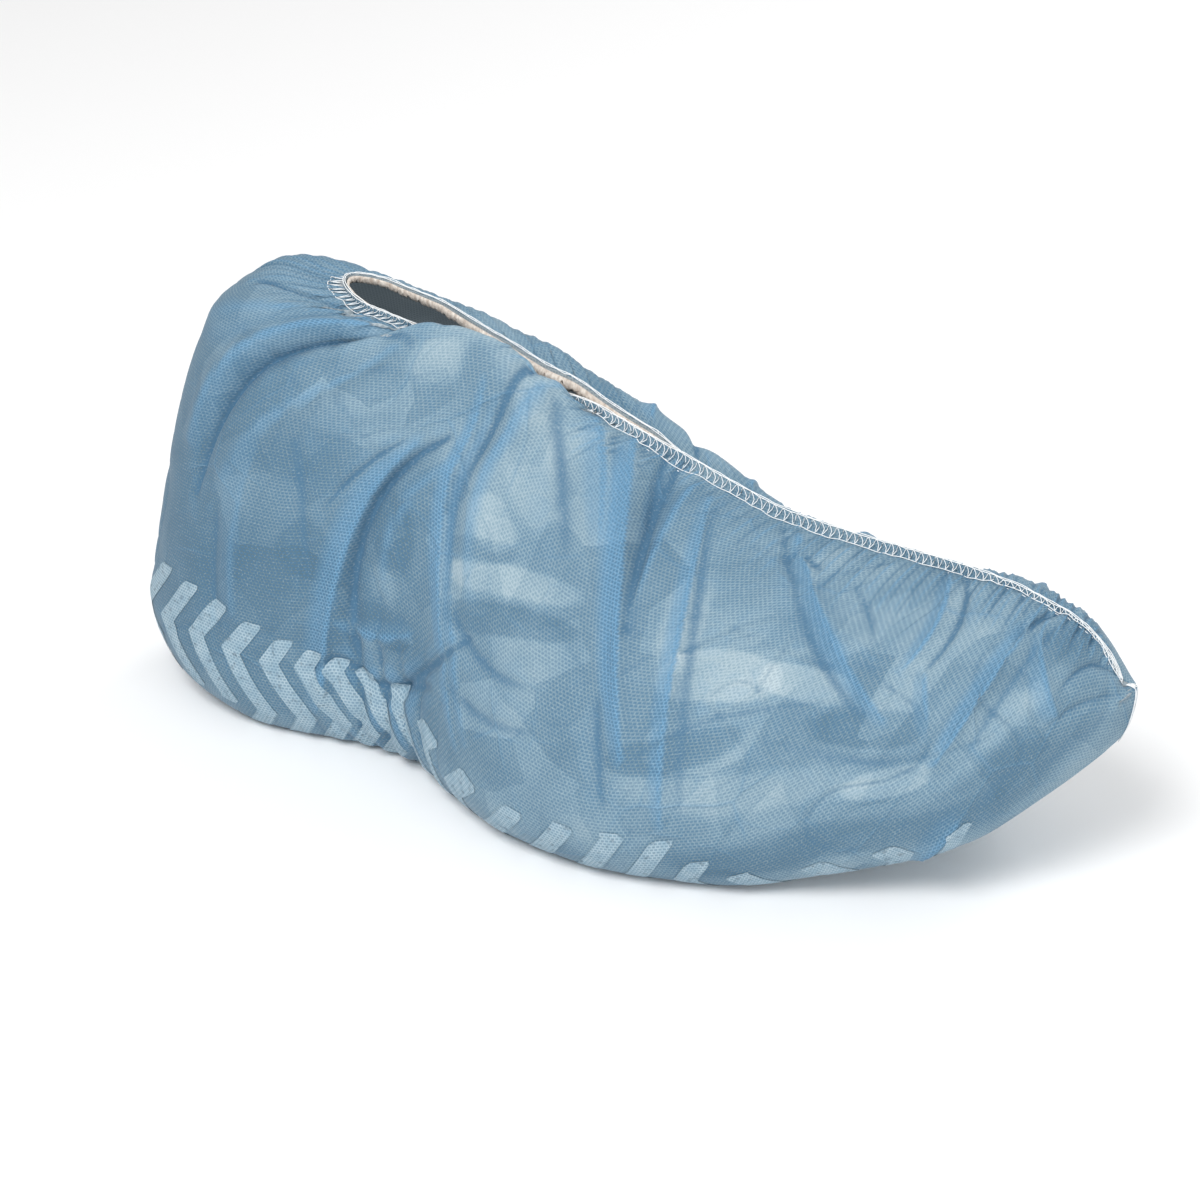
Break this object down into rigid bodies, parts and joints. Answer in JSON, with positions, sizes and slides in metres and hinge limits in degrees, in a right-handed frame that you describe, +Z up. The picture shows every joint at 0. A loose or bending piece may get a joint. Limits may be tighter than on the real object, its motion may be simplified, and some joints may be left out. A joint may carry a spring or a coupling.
{
  "type": "anti-slip shoe cover",
  "caption": "Disposable shoe cover of thin blue non-woven cloth in its worn shape, drawn in by an elastic at the top, with a white zigzag non-slip print under and around the sole.",
  "frame": {"origin": "under the middle of the cover, on the surface that its sole stands on", "axes": "+X from the heel to the toe, -Y the near side, which is the outer side of a right shoe, +Z up"},
  "size_m": [0.334, 0.1258, 0.1495],
  "materials": {
    "cloth": "matte, embossed non-woven",
    "elastic": "matte, woven",
    "grip_print": "matte"
  },
  "bodies": {
    "root": {"body_fabric": "cloth", "opening_elastic": "elastic", "grip_stripe_01": "grip_print", "grip_stripe_02": "grip_print", "grip_stripe_03": "grip_print", "grip_stripe_04": "grip_print", "grip_stripe_05": "grip_print", "grip_stripe_06": "grip_print", "grip_stripe_07": "grip_print", "grip_stripe_08": "grip_print", "grip_stripe_09": "grip_print", "grip_stripe_10": "grip_print", "grip_stripe_11": "grip_print", "grip_stripe_12": "grip_print", "grip_stripe_13": "grip_print", "grip_stripe_14": "grip_print", "grip_stripe_15": "grip_print", "grip_heel_near_1": "grip_print", "grip_heel_near_2": "grip_print", "grip_heel_far_1": "grip_print", "grip_heel_far_2": "grip_print"}
  },
  "joints": []
}
